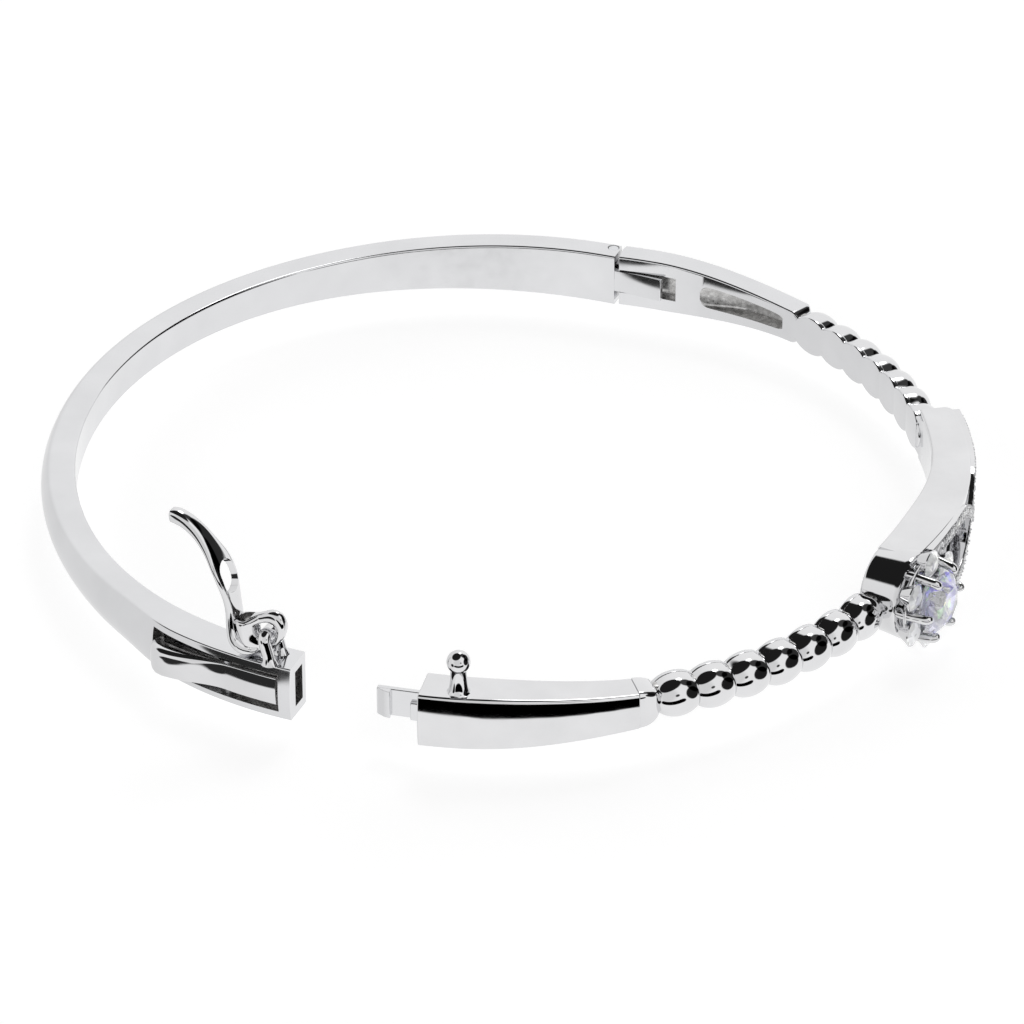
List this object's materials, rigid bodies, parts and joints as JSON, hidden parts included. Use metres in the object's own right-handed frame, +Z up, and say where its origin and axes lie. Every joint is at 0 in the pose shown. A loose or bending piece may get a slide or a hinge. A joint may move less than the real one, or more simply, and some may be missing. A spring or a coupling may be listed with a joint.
{
  "type": "hinged bangle bracelet",
  "caption": "Hinged oval bangle with a plain back, beaded shoulders, a split stone-set centrepiece, a round stone cluster, a box clasp and a safety lever.",
  "frame": {"origin": "middle of the bounding box in plan, at the height of its lowest point, with the bangle lying flat and its clasp standing open", "axes": "+Z up and parallel to the hinge pin; the open clasp faces roughly -Y and the stone cluster faces +X and -Y"},
  "size_m": [0.0636, 0.0622, 0.0147],
  "materials": {
    "silver": "polished rhodium-plated silver",
    "stone": "faceted clear colourless stone"
  },
  "bodies": {
    "back_half": {"back_shank": "silver", "hinge_pin": "silver", "press_lever_pin": "silver", "press_spring": "silver", "safety_ear": "silver"},
    "press_lever_body": {"press_lever": "silver"},
    "safety_lever_body": {"safety_lever": "silver"},
    "front_half": {"hinge_segment": "silver", "upper_bead_strip": "silver", "lower_bead_strip": "silver", "centre_frame": "silver", "cluster_basket": "silver", "tongue_segment": "silver", "ball_stud": "silver", "tongue": "silver", "centre_stone": "stone", "halo_stone_1": "stone", "halo_stone_2": "stone", "halo_stone_3": "stone", "halo_stone_4": "stone", "halo_stone_5": "stone", "halo_stone_6": "stone", "pave_stone_a1": "stone", "pave_stone_a2": "stone", "pave_stone_a3": "stone", "pave_stone_a4": "stone", "pave_stone_a5": "stone", "pave_stone_a6": "stone", "pave_stone_a7": "stone", "pave_stone_a8": "stone", "pave_stone_a9": "stone", "pave_stone_b1": "stone", "pave_stone_b2": "stone", "pave_stone_b3": "stone", "pave_stone_b4": "stone", "pave_stone_b5": "stone", "pave_stone_b6": "stone", "pave_stone_b7": "stone", "pave_stone_b8": "stone", "pave_stone_b9": "stone"}
  },
  "joints": [
    {"name": "main_hinge", "type": "hinge", "parent": "back_half", "child": "front_half", "pos_m": [0.00756, 0.02824, 0.00346], "axis": [0, 0, 1], "range_deg": [-8.04, 22]},
    {"name": "press_lever", "type": "hinge", "parent": "back_half", "child": "press_lever_body", "pos_m": [-0.01813, -0.0244, 0.00346], "axis": [0, 0, -1], "range_deg": [0, 4], "stiffness_Nm_per_rad": 0.02},
    {"name": "safety_lever", "type": "hinge", "parent": "back_half", "child": "safety_lever_body", "pos_m": [-0.01533, -0.02585, 0.00741], "axis": [0.4391, 0.8984, 0], "range_deg": [0, 140]}
  ]
}
